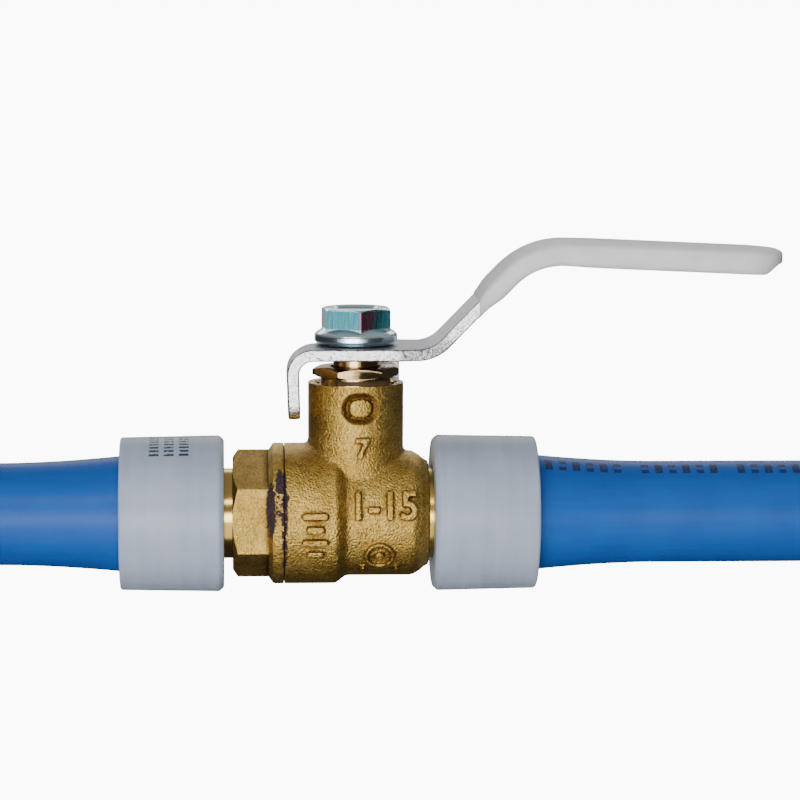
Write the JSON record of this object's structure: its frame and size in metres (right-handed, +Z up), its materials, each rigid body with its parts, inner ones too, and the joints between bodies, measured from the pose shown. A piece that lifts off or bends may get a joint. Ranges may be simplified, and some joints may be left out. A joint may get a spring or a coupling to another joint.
{
  "type": "ball valve",
  "caption": "Quarter-turn brass ball valve with a bent steel lever, joined at both ends to plastic tubing by expansion rings.",
  "frame": {"origin": "centre of the ball, where the tubing's axis meets the stem's axis", "axes": "+X along the tubing on the side of the lever's grip, +Z up the stem, lever open"},
  "size_m": [0.1329, 0.0244, 0.0549],
  "materials": {
    "cast_brass": "sand-cast, fine grain, satin",
    "machined_brass": "turned, bright",
    "plated_brass": "polished plating",
    "zinc_steel": "clear zinc plating",
    "blue_zinc_steel": "blue zinc plating",
    "ring_plastic": "milky, slightly translucent",
    "tube_plastic": "smooth extruded, satin gloss",
    "grip_vinyl": "dipped vinyl, satin",
    "seat_plastic": "plain white",
    "seal_rubber": "plain black"
  },
  "bodies": {
    "valve": {"valve_body": "cast_brass", "end_retainer": "cast_brass", "body_seal": "seal_rubber", "seat_left": "seat_plastic", "seat_right": "seat_plastic", "stem_thrust_washer": "seat_plastic", "stem_packing_lower": "seat_plastic", "stem_packing_upper": "seat_plastic", "packing_nut": "machined_brass", "expansion_ring_left": "ring_plastic", "expansion_ring_right": "ring_plastic", "pipe_left": "tube_plastic", "pipe_right": "tube_plastic"},
    "lever_and_ball": {"lever": "zinc_steel", "lever_grip": "grip_vinyl", "handle_nut": "blue_zinc_steel", "stem": "machined_brass", "ball": "plated_brass"}
  },
  "joints": [
    {"name": "lever_turn", "type": "hinge", "parent": "valve", "child": "lever_and_ball", "pos_m": [0, 0, 0], "axis": [0, 0, 1], "range_deg": [-90, 0]}
  ]
}
